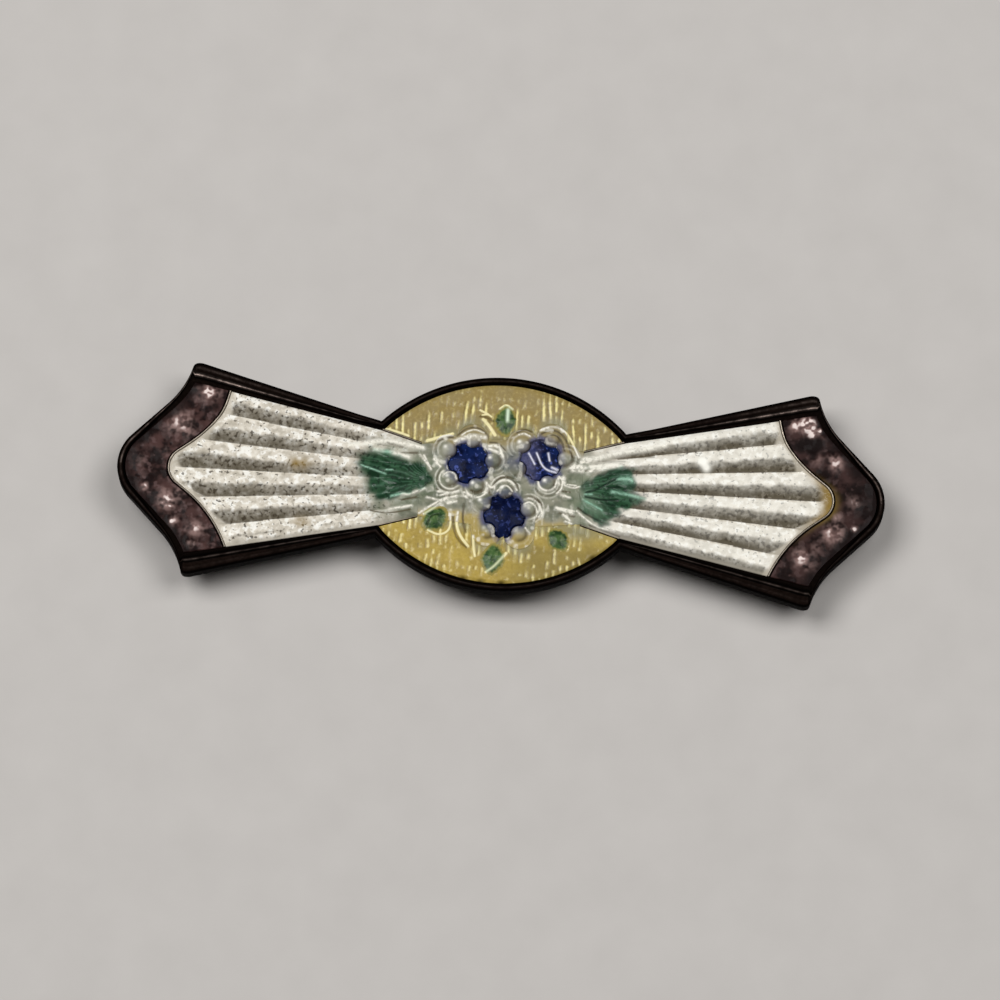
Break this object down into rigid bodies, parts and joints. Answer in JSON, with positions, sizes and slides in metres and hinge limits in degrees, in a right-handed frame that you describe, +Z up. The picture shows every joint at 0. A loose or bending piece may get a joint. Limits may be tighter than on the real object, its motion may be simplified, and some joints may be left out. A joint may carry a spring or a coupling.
{
  "type": "bar pin",
  "caption": "Die-struck silver bar pin with fluted white wings, aubergine ends and a yellow oval carrying a spray of blue flowers.",
  "frame": {"origin": "under the middle of the plate, on the surface that the pin fittings rest on", "axes": "+X along the bar towards the hinge end, +Y across it towards the single top bud, +Z up out of the enamelled face"},
  "size_m": [0.0444, 0.0128, 0.0042],
  "materials": {
    "tarnished_silver": "die-struck silver, nearly black with tarnish, worn to brown metal along raised lines",
    "fitting_silver": "grey-brown tarnished silver, satin",
    "white_enamel": "clear white enamel over grained silver flutes, glossy",
    "aubergine_enamel": "clear dark aubergine enamel over hammered silver, glossy",
    "yellow_enamel": "clear pale yellow enamel over engine-turned silver, glossy",
    "blue_enamel": "deep blue enamel, glossy",
    "green_enamel": "clear green enamel over veined silver, glossy"
  },
  "bodies": {
    "root": {"plate": "tarnished_silver", "wing_enamel_left": "white_enamel", "wing_enamel_right": "white_enamel", "end_enamel_left": "aubergine_enamel", "end_enamel_right": "aubergine_enamel", "oval_enamel_top": "yellow_enamel", "oval_enamel_bottom": "yellow_enamel", "flower_left": "blue_enamel", "flower_right": "blue_enamel", "flower_lower": "blue_enamel", "leaf_left": "green_enamel", "leaf_right": "green_enamel", "bud_top": "green_enamel", "leaf_lower_left": "green_enamel", "leaf_bottom": "green_enamel", "leaf_lower_right": "green_enamel", "back_pin": "fitting_silver"}
  },
  "joints": []
}
